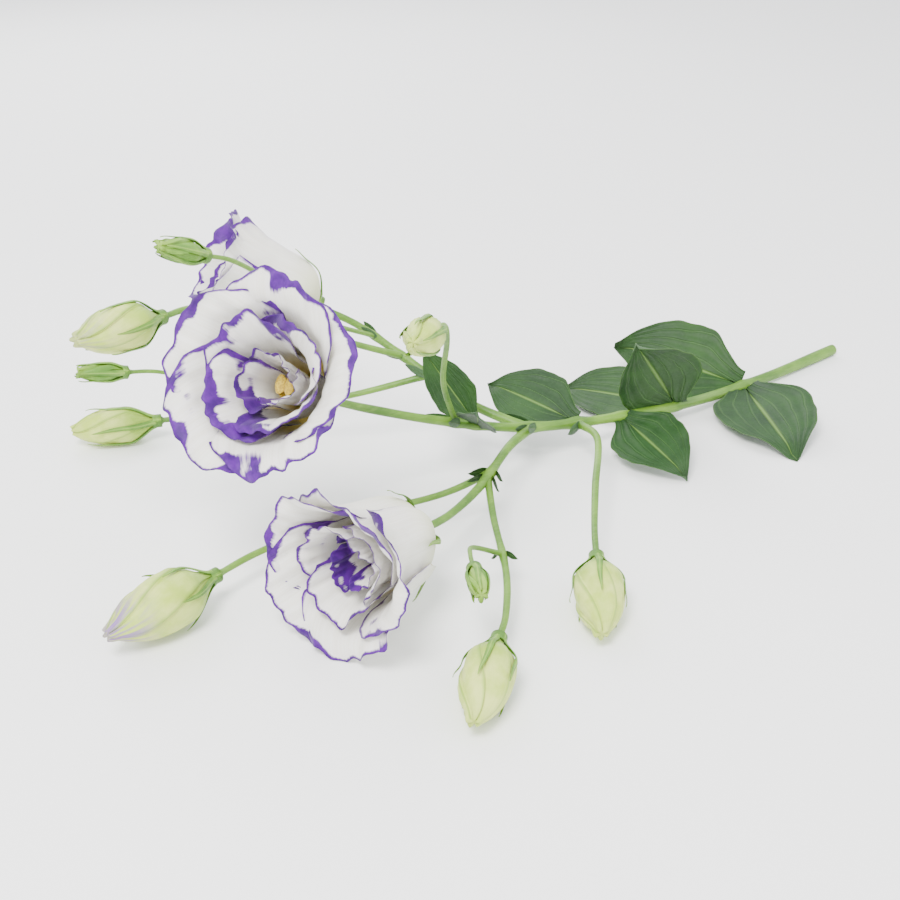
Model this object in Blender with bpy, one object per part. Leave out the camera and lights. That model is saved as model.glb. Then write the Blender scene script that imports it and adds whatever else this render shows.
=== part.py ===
"""Lisianthus (Eustoma grandiflorum): one cut flowering stem, lying on a flat surface.

The stem lies along X with its cut end at +X and its flowers at -X; Z is up and z = 0 is the surface.
It carries three double flowers, six cream buds, three small green buds and eight leaves. Every petal,
calyx, bud and leaf is a piece of its own, seated a small gap away from what carries it. The stem rests
on its cut end, the rim of the lowest flower and the buds that reach the surface. Sizes are in
millimetres.
"""

from math import cos, pi, radians, sin, tau

import bmesh
import bpy
from mathutils import Matrix, Vector

MM = 0.001

# The origin is under the middle of the whole stem. This moves the routes below onto it.
TO_ORIGIN = Vector((-8.0, 6.8, 0.0))

SEAT = 0.3  # gap between a piece and the piece that carries it
PETAL_THICK = 0.5
SEPAL_THICK = 0.5
LEAF_THICK = 0.6

STEM_SIDES = 7
STEP_ALONG = 11.0  # length of one straight piece of stem
DISC_RADIUS = 4.3  # where the petals stand, at a flower's base
BUD_DISC_RADIUS = 2.4
DISC_NECK = 2.8  # how far below the petals the disc is at its neck
DISC_FOOT = 6.5  # and where it starts to widen

OUTER_GRID, INNER_GRID = (6, 6), (5, 5)  # columns and rows of a petal's sheet
PETAL_BELLY = 0.42  # the share of a petal's length at which it stands nearest its axis
PETAL_MOST_ANGLE = 1.25  # half the most that one petal spans round the axis, in radians
CLAW_SHARE = 0.80  # the part of its room that a petal's narrow foot takes
CORNER_ROUND = 0.13  # how much shorter a petal is at its sides than in the middle
WRAP = 1.6  # how far a petal's leading edge stands outside its trailing edge
RIM_WAVE = 1.2
RIM_WAVES = 3

LOBES = 5
SEPAL_ROWS = 4
SEPAL_FOOT, SEPAL_TIP = 1.55, 0.35  # half widths
CUP_TOP = 0.06  # the share of the flower's length at which the calyx parts into sepals
CUP_FOOT = 1.1  # how far below the petals' feet the calyx starts
CALYX_OUT = 0.85  # from the middle of a petal or bud's skin to the middle of the calyx, at its foot
BUD_CALYX_SPREAD = 0.6  # and what is added to that further up a bud

BUD_SIDES, BUD_ROWS = 9, 7
BUD_FOOT_RADIUS, BUD_TIP_RADIUS = 2.0, 0.8
BUD_BELLY = 0.36  # the share of a bud's length at which it is widest

STAMENS = 5
STAMEN_SIDES = 5
STAMEN_LEAN = 0.16
# The pistil's and a stamen's outlines, as (height, radius).
PISTIL = [(0.0, 1.35), (3.0, 1.5), (9.0, 1.25), (12.0, 0.7), (20.0, 0.6), (23.0, 1.5), (26.0, 0.7)]
STAMEN = [(0.4, 0.3), (13.0, 0.3), (14.0, 0.75), (17.5, 0.7), (18.5, 0.3)]

LEAF_COLUMNS, LEAF_ROWS = 4, 6
LEAF_BELLY = 0.36  # the share of a leaf's length at which it is widest
LEAF_FOOT, LEAF_TIP = 0.07, 0.03  # half widths there, as shares of the widest
LEAF_TROUGH = 0.16  # how far the sides rise, as a share of the half width

# A stalk: the stalk it grows from, the place along that stalk's route (0 to 1), the further points of
# its own route, and its radius at both ends.
STALKS = {
    "main": (None, 0, [(204, 10, 2.6), (152, 3, 3.4), (104, -2, 6), (56, -3, 11), (8, 0, 18),
                       (-30, 6, 29), (-60, 9, 41), (-80, 5, 52), (-92, -3, 61)], (2.6, 1.4)),
    "front": ("main", 0.49, [(-10, -14, 20), (-36, -33, 19.7), (-60, -47, 20.8), (-80, -55, 23.8)],
              (2.0, 1.4)),
    "rear": ("main", 0.50, [(-8, 22, 26), (-20, 48, 38), (-34, 64, 51), (-50, 71, 61)], (2.0, 1.4)),
    "bud_1": ("front", 0.42, [(-50, -24, 15), (-88, -17, 13), (-122, -18, 11.6), (-144, -24, 11.4)],
              (1.4, 1.2)),
    "bud_2": ("front", 0.45, [(-42, -50, 15), (-56, -78, 12.1), (-70, -98, 10.6), (-80, -108, 9.8)],
              (1.4, 1.2)),
    "bud_3": ("rear", 0.52, [(-50, 46, 54), (-86, 44, 74), (-116, 38, 86), (-134, 30, 89)], (1.4, 1.2)),
    "bud_4": ("rear", 0.40, [(-48, 56, 24), (-76, 84, 14), (-98, 100, 10), (-112, 106, 9.2)], (1.4, 1.2)),
    "bud_5": ("main", 0.43, [(26, -26, 19), (3, -54, 17), (-13, -74, 13.6), (-23, -88, 11.4)], (1.6, 1.2)),
    "bud_6": ("main", 0.60, [(-36, -6, 52), (-46, -24, 78), (-56, -38, 92), (-68, -50, 97)], (1.2, 1.0)),
    "bud_7": ("rear", 0.66, [(-60, 44, 66), (-90, 24, 94), (-112, 10, 112), (-126, 4, 119)], (1.0, 0.8)),
    "bud_8": ("bud_2", 0.42, [(-66, -72, 22), (-74, -82, 27), (-79, -92, 28)], (0.9, 0.8)),
    "bud_9": ("bud_4", 0.52, [(-92, 84, 30), (-116, 84, 42), (-132, 84, 46)], (0.9, 0.8)),
}

# One whorl of petals: how many, length, half width, base radius, lean from the flower's axis in
# degrees at the base, the belly and the rim, and the turn of the first petal in degrees.
FLOWERS = {
    "flower_1": ("main", [(5, 62, 30, 4.0, (62, 8, 84), 10), (4, 51, 23, 3.0, (47, 6, 46), 40),
                          (3, 41, 19, 2.0, (30, 3, 24), 75)]),
    "flower_2": ("front", [(5, 59, 28, 4.0, (66, 4, 58), 0), (3, 49, 25, 3.0, (46, 3, 30), 20),
                           (3, 40, 17, 2.0, (30, 2, 16), 80)]),
    "flower_3": ("rear", [(5, 55, 26, 4.0, (58, 1, 34), 30), (3, 47, 22, 3.0, (40, 1, 16), 0)]),
}

# A bud: its stalk, length, belly radius and the share of its length that the sepals reach.
BUDS = {
    "bud_1": (46, 10.0, 0.46), "bud_2": (41, 8.4, 0.66), "bud_3": (40, 8.0, 0.72),
    "bud_4": (37, 7.8, 0.78), "bud_5": (40, 8.6, 0.68), "bud_6": (31, 6.0, 0.92),
}
# A bud still shut in its calyx is one piece: length and belly radius.
GREEN_BUDS = {"bud_7": (22, 3.8), "bud_8": (17, 3.2), "bud_9": (19, 3.4)}

# A leaf: the place along the main stem's route (0 to 1), the way it points and the way its upper face
# looks, then length, half width and how far the tip curls down.
LEAVES = {
    "leaf_1": (0.17, (-0.45, -0.88, 0.06), (-0.3, -0.25, 1.0), 66, 22, 6),
    "leaf_2": (0.17, (-0.60, 0.76, 0.26), (-0.3, -0.75, 0.9), 62, 21, 7),
    "leaf_3": (0.29, (-0.60, -0.16, 0.78), (-0.4, -0.9, -0.1), 56, 19, -5),
    "leaf_4": (0.29, (-0.40, 0.90, -0.03), (-0.2, -0.2, 1.0), 56, 19, 3),
    "leaf_5": (0.37, (-0.10, -0.98, -0.08), (-0.4, -0.3, 1.0), 46, 16, 3),
    "leaf_6": (0.43, (-0.42, 0.88, 0.22), (-0.3, -0.6, 0.9), 46, 16, 6),
    "leaf_7": (0.57, (-0.40, -0.70, 0.60), (-0.5, -0.7, 0.4), 34, 9, -3),
    "leaf_8": (0.57, (-0.30, 0.62, 0.74), (-0.6, -0.6, 0.5), 36, 9, -4),
}


def smooth(t):
    t = min(max(t, 0.0), 1.0)
    return t * t * (3 - 2 * t)


def clear_scene():
    for obj in list(bpy.data.objects):
        bpy.data.objects.remove(obj, do_unlink=True)


def material(name, colour, roughness):
    made = bpy.data.materials.new(name)
    made.use_nodes = True
    shader = made.node_tree.nodes["Principled BSDF"]
    shader.inputs["Base Color"].default_value = (*colour, 1.0)
    shader.inputs["Roughness"].default_value = roughness
    shader.inputs["Metallic"].default_value = 0.0
    made.diffuse_color = (*colour, 1.0)
    return made


def add_object(name, mesh, finish, parent=None, thickness=None):
    """An object from a bmesh in millimetres. A sheet gets its thickness, half on each side."""
    bmesh.ops.scale(mesh, vec=(MM, MM, MM), verts=mesh.verts)
    if thickness is None:
        bmesh.ops.recalc_face_normals(mesh, faces=mesh.faces)
    data = bpy.data.meshes.new(name)
    mesh.to_mesh(data)
    mesh.free()
    data.shade_smooth()
    data.materials.append(finish)
    obj = bpy.data.objects.new(name, data)
    bpy.context.scene.collection.objects.link(obj)
    obj.parent = parent
    if thickness is not None:
        solid = obj.modifiers.new("thickness", "SOLIDIFY")
        solid.thickness = thickness * MM
        solid.offset = 0.0
    return obj


def add_grid(mesh, points):
    """A sheet of quads through rows of points, added to a bmesh."""
    rows = [[mesh.verts.new(point) for point in row] for row in points]
    for low, high in zip(rows, rows[1:]):
        for i in range(len(low) - 1):
            mesh.faces.new((low[i], low[i + 1], high[i + 1], high[i]))
    return rows


def through(points, t):
    """A smooth curve through the points (Catmull-Rom), t from 0 to 1."""
    spans = len(points) - 1
    i = min(int(t * spans), spans - 1)
    f = t * spans - i
    b, c = Vector(points[i]), Vector(points[i + 1])
    a = Vector(points[i - 1]) if i > 0 else 2 * b - c
    d = Vector(points[i + 2]) if i + 2 <= spans else 2 * c - b
    square, cube = 2 * a - 5 * b + 4 * c - d, 3 * b - a - 3 * c + d
    return 0.5 * (2 * b + (c - a) * f + square * f**2 + cube * f**3)


def heading(points, t):
    return (through(points, min(t + 0.01, 1)) - through(points, max(t - 0.01, 0))).normalized()


def stand_at(place, axis):
    """A frame whose Z runs along axis, and whose Y leans towards up."""
    side = Vector((0, 0, 1)).cross(axis).normalized()
    turned = Matrix((side, axis.cross(side), axis)).transposed().to_4x4()
    return Matrix.Translation((place + TO_ORIGIN) * MM) @ turned


def route_of(name):
    parent, share, points, _ = STALKS[name]
    return points if parent is None else [through(route_of(parent), share), *points]


def stalk_end(name):
    route = route_of(name)
    return through(route, 1), heading(route, 1)


# ---- stem ----

def tube(sections, sides=STEM_SIDES):
    """A closed bmesh tube through (centre, direction, radius) sections."""
    mesh = bmesh.new()
    side = Vector((0.1, 0.2, 1.0))
    rings = []
    for centre, direction, radius in sections:
        side = (side - side.dot(direction) * direction).normalized()
        other = direction.cross(side)
        rings.append([mesh.verts.new(centre + radius * (cos(a) * side + sin(a) * other))
                      for a in (tau * k / sides for k in range(sides))])
    for low, high in zip(rings, rings[1:]):
        for i in range(sides):
            j = (i + 1) % sides
            mesh.faces.new((low[i], low[j], high[j], high[i]))
    mesh.faces.new(reversed(rings[0]))
    mesh.faces.new(rings[-1])
    return mesh


def disc_sections(end, direction, stalk_radius, disc_radius):
    """The stalk's end widening into the disc that carries the petals, whose top is flat."""
    top = -SEAT - PETAL_THICK / 2
    shape = [(-DISC_FOOT, stalk_radius), (-DISC_NECK, 0.62 * disc_radius), (top, disc_radius)]
    return [(end + height * direction, direction, radius) for height, radius in shape]


def stalk_mesh(name, disc_radius):
    route = route_of(name)
    thick, thin = STALKS[name][3]
    end, direction = stalk_end(name)
    length = sum((Vector(b) - Vector(a)).length for a, b in zip(route, route[1:]))
    steps = max(4, round(length / STEP_ALONG))
    sections = []
    for k in range(steps + 1):
        t = k / steps
        centre = through(route, t)
        if (centre - end).length > 1.3 * DISC_FOOT:
            sections.append((centre, heading(route, t), thick + (thin - thick) * t))
    return tube(sections + disc_sections(end, direction, thin, disc_radius))


def union(name, meshes, finish, parent=None):
    """One solid from several closed meshes that run into each other."""
    made = [add_object(name if k == 0 else f"{name}_branch_{k}", mesh, finish, parent)
            for k, mesh in enumerate(meshes)]
    for helper in made[1:]:
        join = made[0].modifiers.new(helper.name, "BOOLEAN")
        join.operation = "UNION"
        join.object = helper
        helper.hide_render = True
        helper.display_type = "WIRE"
    return made[0]


def make_stem(finish):
    """The main stem with every branch and flower stalk grown into it, as one solid."""
    discs = {stalk: DISC_RADIUS for stalk, _ in FLOWERS.values()}
    meshes = [stalk_mesh(name, discs.get(name, BUD_DISC_RADIUS)) for name in STALKS]
    for mesh in meshes:
        bmesh.ops.translate(mesh, vec=TO_ORIGIN, verts=mesh.verts)
    return union("stem", meshes, finish)


# ---- flowers ----

def lean_at(s, lean):
    base, middle, rim = lean
    if s < PETAL_BELLY:
        return radians(base + (middle - base) * smooth(s / PETAL_BELLY))
    return radians(middle + (rim - middle) * ((s - PETAL_BELLY) / (1 - PETAL_BELLY)) ** 1.7)


def profile(length, base_radius, lean, steps=48):
    """(radius, height) of a petal's midline at steps + 1 places from base to rim."""
    radius, height = base_radius, 0.0
    found = [(radius, height)]
    for k in range(steps):
        angle = lean_at((k + 0.5) / steps, lean)
        radius += length / steps * sin(angle)
        height += length / steps * cos(angle)
        found.append((radius, height))
    return found


def on_profile(found, s):
    at = min(max(s, 0.0), 1.0) * (len(found) - 1)
    i = min(int(at), len(found) - 2)
    f = at - i
    return tuple(found[i][k] * (1 - f) + found[i + 1][k] * f for k in (0, 1))


def outside(found, s, out):
    """(radius, height) at a distance out from the profile, on its outer side."""
    radius, height = on_profile(found, s)
    ahead, behind = on_profile(found, s + 0.02), on_profile(found, s - 0.02)
    slope = Vector((ahead[0] - behind[0], ahead[1] - behind[1])).normalized()
    return radius + out * slope.y, height - out * slope.x


def petal_half_angle(s, radius, half_width, count):
    """Half the angle that a petal spans round the flower's axis: a narrow claw, then a broad blade."""
    claw = CLAW_SHARE * pi / count
    blade = half_width * (0.30 + 0.70 * smooth(s / 0.62)) * (1 - 0.10 * smooth((s - 0.7) / 0.3)) / radius
    return claw + (min(blade, PETAL_MOST_ANGLE) - claw) * smooth((s - 0.04) / 0.26)


def make_petal(name, whorl, grid, index, finish, parent):
    count, length, half_width, base_radius, lean, turn = whorl
    found = profile(length, base_radius, lean)
    centre = radians(turn) + tau * index / count
    columns, rows = grid
    points = []
    for k in range(rows + 1):
        row = []
        for j in range(columns + 1):
            u = 2 * j / columns - 1
            s = k / rows * (1 - CORNER_ROUND * abs(u) ** 3)
            around = centre + u * petal_half_angle(s, on_profile(found, s)[0], half_width, count)
            wave = RIM_WAVE * smooth((s - 0.5) / 0.5) * sin(RIM_WAVES * around + radians(turn))
            radius, height = outside(found, s, WRAP * u * smooth((s - 0.02) / 0.2) + wave)
            row.append((radius * cos(around), radius * sin(around), height))
        points.append(row)
    mesh = bmesh.new()
    add_grid(mesh, points)
    return add_object(name, mesh, finish, parent, PETAL_THICK)


def make_calyx(name, found, disc_radius, reach, spread, finish, parent):
    """Five narrow sepals on a short cup round the disc, following the outside of a flower or bud."""
    def place(s, around):
        radius, height = outside(found, s, CALYX_OUT + spread * smooth((s - 0.02) / 0.2))
        return Vector((radius * cos(around), radius * sin(around), height))

    foot = disc_radius + SEAT + SEPAL_THICK
    mesh = bmesh.new()
    total = 2 * LOBES
    turns = [tau * i / total for i in range(total)]
    low = [mesh.verts.new((foot * cos(turn), foot * sin(turn), -CUP_FOOT)) for turn in turns]
    cup = [mesh.verts.new(place(CUP_TOP, turn)) for turn in turns]
    for i in range(total):
        j = (i + 1) % total
        mesh.faces.new((low[i], low[j], cup[j], cup[i]))
    for lobe in range(LOBES):
        left, right = cup[2 * lobe], cup[2 * lobe + 1]
        middle = tau * (2 * lobe + 0.5) / total
        for k in range(1, SEPAL_ROWS + 1):
            t = k / SEPAL_ROWS
            s = CUP_TOP + (reach - CUP_TOP) * t
            half_width = SEPAL_TIP + (SEPAL_FOOT - SEPAL_TIP) * (1 - t) ** 0.8
            half = half_width / (on_profile(found, s)[0] + CALYX_OUT)
            next_left, next_right = (mesh.verts.new(place(s, middle + way * half)) for way in (-1, 1))
            mesh.faces.new((left, right, next_right, next_left))
            left, right = next_left, next_right
    return add_object(name, mesh, finish, parent, SEPAL_THICK)


def make_centre(name, finish, parent):
    """Ovary, style and two-lobed stigma, with five stamens round them, grown together at the base."""
    up = Vector((0, 0, 1))
    meshes = [tube([(height * up, up, radius) for height, radius in PISTIL], BUD_SIDES)]
    for k in range(STAMENS):
        out = Vector((cos(tau * k / STAMENS), sin(tau * k / STAMENS), 0))
        way = (up + STAMEN_LEAN * out).normalized()
        meshes.append(tube([(out + height * way, way, radius) for height, radius in STAMEN], STAMEN_SIDES))
    return union(name, meshes, finish, parent)


def stand(name, stalk):
    """An empty at a stalk's end, with its Z along the flower's axis, which carries the flower's pieces."""
    base = bpy.data.objects.new(name, None)
    bpy.context.scene.collection.objects.link(base)
    base.matrix_world = stand_at(*stalk_end(stalk))
    return base


def make_flower(name, finishes):
    stalk, whorls = FLOWERS[name]
    base = stand(name, stalk)
    number = 0
    for depth, whorl in enumerate(whorls):
        for index in range(whorl[0]):
            number += 1
            grid = INNER_GRID if depth else OUTER_GRID
            make_petal(f"{name}_petal_{number}", whorl, grid, index, finishes["petal"], base)
    outer = profile(*(whorls[0][i] for i in (1, 3, 4)))
    make_calyx(f"{name}_calyx", outer, DISC_RADIUS, 0.40, WRAP + 0.1, finishes["sepal"], base)
    if len(whorls) > 2:
        make_centre(f"{name}_centre", finishes["centre"], base)


# ---- buds ----

def bud_profile(length, belly, steps=24):
    """(radius, height) of a pointed bud from its foot to its tip."""
    found = []
    for k in range(steps + 1):
        s = k / steps
        if s < BUD_BELLY:
            radius = BUD_FOOT_RADIUS + (belly - BUD_FOOT_RADIUS) * smooth(s / BUD_BELLY)
        else:
            taper = cos(pi / 2 * ((s - BUD_BELLY) / (1 - BUD_BELLY)) ** 1.5)
            radius = BUD_TIP_RADIUS + (belly - BUD_TIP_RADIUS) * taper
        found.append((radius, length * s))
    return found


def bud_body(found):
    foot = Vector((0, 0, -PETAL_THICK / 2))
    sections = []
    for k in range(BUD_ROWS + 1):
        radius, height = on_profile(found, k / BUD_ROWS)
        sections.append((foot + Vector((0, 0, height)), Vector((0, 0, 1)), radius))
    return tube(sections, BUD_SIDES)


def make_bud(name, finishes):
    length, belly, reach = BUDS[name]
    base = stand(name + "_base", name)
    found = bud_profile(length, belly)
    add_object(f"{name}_petals", bud_body(found), finishes["bud"], base)
    make_calyx(f"{name}_calyx", found, BUD_DISC_RADIUS, reach, BUD_CALYX_SPREAD, finishes["sepal"], base)


def make_green_bud(name, finish):
    add_object(name, bud_body(bud_profile(*GREEN_BUDS[name])), finish, stand(name + "_base", name))


# ---- leaves ----

def leaf_width(t):
    """A leaf's half width as a share of its widest, t from 0 at its foot to 1 at its tip."""
    if t < LEAF_BELLY:
        return LEAF_FOOT + (1 - LEAF_FOOT) * smooth(t / LEAF_BELLY) ** 1.4
    return LEAF_TIP + (1 - LEAF_TIP) * cos(pi / 2 * ((t - LEAF_BELLY) / (1 - LEAF_BELLY)) ** 1.5)


def make_leaf(name, finish):
    share, way, face, length, half_width, curl = LEAVES[name]
    route = route_of("main")
    thick, thin = STALKS["main"][3]
    way, face = Vector(way).normalized(), Vector(face)
    face = (face - face.dot(way) * way).normalized()
    side = way.cross(face)
    along = heading(route, share)
    out = (way - way.dot(along) * along).normalized()
    radius = thick + (thin - thick) * share
    foot = through(route, share) + out * (radius + SEAT + LEAF_THICK)
    points = []
    for k in range(LEAF_ROWS + 1):
        t = k / LEAF_ROWS
        row = []
        for j in range(LEAF_COLUMNS + 1):
            u = 2 * j / LEAF_COLUMNS - 1
            lift = LEAF_TROUGH * half_width * abs(u) * smooth(t / 0.3) - curl * t * t
            across = half_width * leaf_width(t) * u
            row.append(foot + way * length * t + side * across + face * lift + TO_ORIGIN)
        points.append(row)
    mesh = bmesh.new()
    add_grid(mesh, points)
    return add_object(name, mesh, finish, None, LEAF_THICK)


def build():
    clear_scene()
    finishes = {
        "stem": material("stem_green", (0.25, 0.42, 0.13), 0.5),
        "petal": material("petal_white_and_violet", (0.88, 0.86, 0.86), 0.6),
        "sepal": material("sepal_green", (0.36, 0.52, 0.14), 0.55),
        "centre": material("stigma_yellow", (0.80, 0.66, 0.12), 0.6),
        "bud": material("bud_cream_green", (0.78, 0.82, 0.45), 0.55),
        "leaf": material("leaf_grey_green", (0.13, 0.26, 0.12), 0.6),
    }
    make_stem(finishes["stem"])
    for name in FLOWERS:
        make_flower(name, finishes)
    for name in BUDS:
        make_bud(name, finishes)
    for name in GREEN_BUDS:
        make_green_bud(name, finishes["sepal"])
    for name in LEAVES:
        make_leaf(name, finishes["leaf"])


build()
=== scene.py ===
"""Lisianthus stem: the detailed petals, buds, leaves and stem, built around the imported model."""

from math import cos, pi, radians, sin, tau
from random import Random

import bpy
import numpy as np
from mathutils import Matrix, Vector, noise


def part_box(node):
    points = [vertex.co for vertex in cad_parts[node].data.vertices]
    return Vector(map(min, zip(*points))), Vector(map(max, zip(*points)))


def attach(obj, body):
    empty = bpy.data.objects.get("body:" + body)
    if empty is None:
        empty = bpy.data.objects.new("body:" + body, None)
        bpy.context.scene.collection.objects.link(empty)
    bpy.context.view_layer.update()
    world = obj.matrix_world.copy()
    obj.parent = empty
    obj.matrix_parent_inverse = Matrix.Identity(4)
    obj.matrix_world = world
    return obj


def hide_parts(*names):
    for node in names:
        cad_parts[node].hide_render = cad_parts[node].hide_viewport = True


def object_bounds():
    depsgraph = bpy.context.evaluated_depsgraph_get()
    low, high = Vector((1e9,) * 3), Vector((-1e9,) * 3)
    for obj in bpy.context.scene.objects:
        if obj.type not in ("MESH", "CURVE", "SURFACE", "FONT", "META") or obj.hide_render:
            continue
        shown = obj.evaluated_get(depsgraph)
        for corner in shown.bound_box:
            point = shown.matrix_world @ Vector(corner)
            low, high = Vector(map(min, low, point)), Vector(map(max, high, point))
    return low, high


bl_info = {
    "name": "Lisianthus Stem",
    "version": (1, 0, 0),
    "blender": (4, 5, 0),
    "location": "View3D > Sidebar > Lisianthus",
    "description": "Builds a cut lisianthus stem with its flowers, buds and leaves",
    "category": "Add Mesh",
}

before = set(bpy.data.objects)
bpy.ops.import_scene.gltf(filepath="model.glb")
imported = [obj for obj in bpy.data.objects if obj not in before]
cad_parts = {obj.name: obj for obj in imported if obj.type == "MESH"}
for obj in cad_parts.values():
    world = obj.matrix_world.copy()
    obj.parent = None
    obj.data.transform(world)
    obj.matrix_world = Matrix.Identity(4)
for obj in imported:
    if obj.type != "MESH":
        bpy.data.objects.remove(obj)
CAD_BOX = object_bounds()
MM = 0.001
UV_NAME = "surface"

# ---- the plant's shape, in millimetres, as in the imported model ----

TO_ORIGIN = np.array((-8.0, 6.8, 0.0))
SEAT, HALF_PETAL = 0.3, 0.25     # the disc's top lies this far below a flower's foot
DISC_RADIUS = 4.3
BUD_DISC_RADIUS = 2.4
PETAL_BELLY = 0.42
PETAL_MOST_ANGLE = 1.25
CLAW_SHARE = 0.80
WRAP = 1.6
BUD_FOOT_RADIUS, BUD_TIP_RADIUS, BUD_BELLY = 2.0, 0.8, 0.36
BUD_TWIST = 1.15
CUP_TOP, CUP_FOOT = 0.06, -1.6
LEAF_BELLY = 0.36
LOBES = 5
STAMENS = 5
STAMEN_RING = 0.0001       # in metres: each stamen's own mesh stands off the axis already
VEINS = 26.0                                         # how close a leaf's side veins stand
VEIN_SLANT, VEIN_FAN, VEIN_RISE = 0.45, 0.9, 0.42    # how they arch towards the tip

# A stalk: its parent, its place along the parent, its further points, and its radius at both ends.
STALKS = {
    "main": (None, 0, [(204, 10, 2.6), (152, 3, 3.4), (104, -2, 6), (56, -3, 11), (8, 0, 18),
                       (-30, 6, 29), (-60, 9, 41), (-80, 5, 52), (-92, -3, 61)], (2.6, 1.4)),
    "front": ("main", 0.49, [(-10, -14, 20), (-36, -33, 19.7), (-60, -47, 20.8), (-80, -55, 23.8)],
              (2.0, 1.4)),
    "rear": ("main", 0.50, [(-8, 22, 26), (-20, 48, 38), (-34, 64, 51), (-50, 71, 61)], (2.0, 1.4)),
    "bud_1": ("front", 0.42, [(-50, -24, 15), (-88, -17, 13), (-122, -18, 11.6), (-144, -24, 11.4)],
              (1.4, 1.2)),
    "bud_2": ("front", 0.45, [(-42, -50, 15), (-56, -78, 12.1), (-70, -98, 10.6), (-80, -108, 9.8)],
              (1.4, 1.2)),
    "bud_3": ("rear", 0.52, [(-50, 46, 54), (-86, 44, 74), (-116, 38, 86), (-134, 30, 89)], (1.4, 1.2)),
    "bud_4": ("rear", 0.40, [(-48, 56, 24), (-76, 84, 14), (-98, 100, 10), (-112, 106, 9.2)],
              (1.4, 1.2)),
    "bud_5": ("main", 0.43, [(26, -26, 19), (3, -54, 17), (-13, -74, 13.6), (-23, -88, 11.4)],
              (1.6, 1.2)),
    "bud_6": ("main", 0.60, [(-36, -6, 52), (-46, -24, 78), (-56, -38, 92), (-68, -50, 97)], (1.2, 1.0)),
    "bud_7": ("rear", 0.66, [(-60, 44, 66), (-90, 24, 94), (-112, 10, 112), (-126, 4, 119)], (1.0, 0.8)),
    "bud_8": ("bud_2", 0.42, [(-66, -72, 22), (-74, -82, 27), (-79, -92, 28)], (0.9, 0.8)),
    "bud_9": ("bud_4", 0.52, [(-92, 84, 30), (-116, 84, 42), (-132, 84, 46)], (0.9, 0.8)),
}

# A whorl: how many petals, length, half width, base radius, lean at base, belly and rim, and turn.
FLOWERS = {
    "flower_1": ("main", [(5, 62, 30, 4.0, (62, 8, 84), 10), (4, 51, 23, 3.0, (47, 6, 46), 40),
                          (3, 41, 19, 2.0, (30, 3, 24), 75)]),
    "flower_2": ("front", [(5, 59, 28, 4.0, (66, 4, 58), 0), (3, 49, 25, 3.0, (46, 3, 30), 20),
                           (3, 40, 17, 2.0, (30, 2, 16), 80)]),
    "flower_3": ("rear", [(5, 55, 26, 4.0, (58, 1, 34), 30), (3, 47, 22, 3.0, (40, 1, 16), 0)]),
}
# A bud: length, belly radius, the share of its length that the sepals reach, and how violet its tip is.
BUDS = {
    "bud_1": (46, 10.0, 0.46, 1.0), "bud_2": (41, 8.4, 0.66, 0.0), "bud_3": (40, 8.0, 0.72, 0.35),
    "bud_4": (37, 7.8, 0.78, 0.0), "bud_5": (40, 8.6, 0.68, 0.0), "bud_6": (31, 6.0, 0.92, 0.0),
}
GREEN_BUDS = {"bud_7": (22, 3.8), "bud_8": (17, 3.2), "bud_9": (19, 3.4)}

# A leaf: its place along the main stem, its way, its face, length, half width and curl.
LEAVES = {
    "leaf_1": (0.17, (-0.45, -0.88, 0.06), (-0.3, -0.25, 1.0), 66, 22, 6),
    "leaf_2": (0.17, (-0.60, 0.76, 0.26), (-0.3, -0.75, 0.9), 62, 21, 7),
    "leaf_3": (0.29, (-0.60, -0.16, 0.78), (-0.4, -0.9, -0.1), 56, 19, -5),
    "leaf_4": (0.29, (-0.40, 0.90, -0.03), (-0.2, -0.2, 1.0), 56, 19, 3),
    "leaf_5": (0.37, (-0.10, -0.98, -0.08), (-0.4, -0.3, 1.0), 46, 16, 3),
    "leaf_6": (0.43, (-0.42, 0.88, 0.22), (-0.3, -0.6, 0.9), 46, 16, 6),
    "leaf_7": (0.57, (-0.40, -0.70, 0.60), (-0.5, -0.7, 0.4), 34, 9, -3),
    "leaf_8": (0.57, (-0.30, 0.62, 0.74), (-0.6, -0.6, 0.5), 36, 9, -4),
}


def smooth(t):
    t = np.clip(t, 0.0, 1.0)
    return t * t * (3 - 2 * t)


def unit(vector):
    return vector / np.linalg.norm(vector)


# ---- routes ----

def through(points, t):
    """A smooth curve through the points (Catmull-Rom), t from 0 to 1."""
    spans = len(points) - 1
    i = min(int(t * spans), spans - 1)
    f = t * spans - i
    b, c = np.array(points[i], float), np.array(points[i + 1], float)
    a = np.array(points[i - 1], float) if i > 0 else 2 * b - c
    d = np.array(points[i + 2], float) if i + 2 <= spans else 2 * c - b
    square, cube = 2 * a - 5 * b + 4 * c - d, 3 * b - a - 3 * c + d
    return 0.5 * (2 * b + (c - a) * f + square * f**2 + cube * f**3)


def radius_of(name, share):
    thick, thin = STALKS[name][3]
    return thick + (thin - thick) * share


def heading(points, t):
    return unit(through(points, min(t + 0.01, 1)) - through(points, max(t - 0.01, 0)))


def route_of(name):
    parent, share, points, _ = STALKS[name]
    return points if parent is None else [through(route_of(parent), share), *points]


class Stand:
    """The place at a stalk's end, with Z along the flower's axis and Y leaning towards up."""

    def __init__(self, stalk):
        route = route_of(stalk)
        axis = heading(route, 1)
        side = unit(np.cross((0, 0, 1), axis))
        self.turn = np.array((side, np.cross(axis, side), axis))
        self.place = through(route, 1) + TO_ORIGIN

    def __call__(self, points):
        return points @ self.turn + self.place


# ---- outlines of flowers and buds ----

def lean_at(s, lean):
    base, middle, rim = lean
    opening = np.clip((s - PETAL_BELLY) / (1 - PETAL_BELLY), 0, 1) ** 1.7
    return np.radians(np.where(s < PETAL_BELLY, base + (middle - base) * smooth(s / PETAL_BELLY),
                               middle + (rim - middle) * opening))


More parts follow.
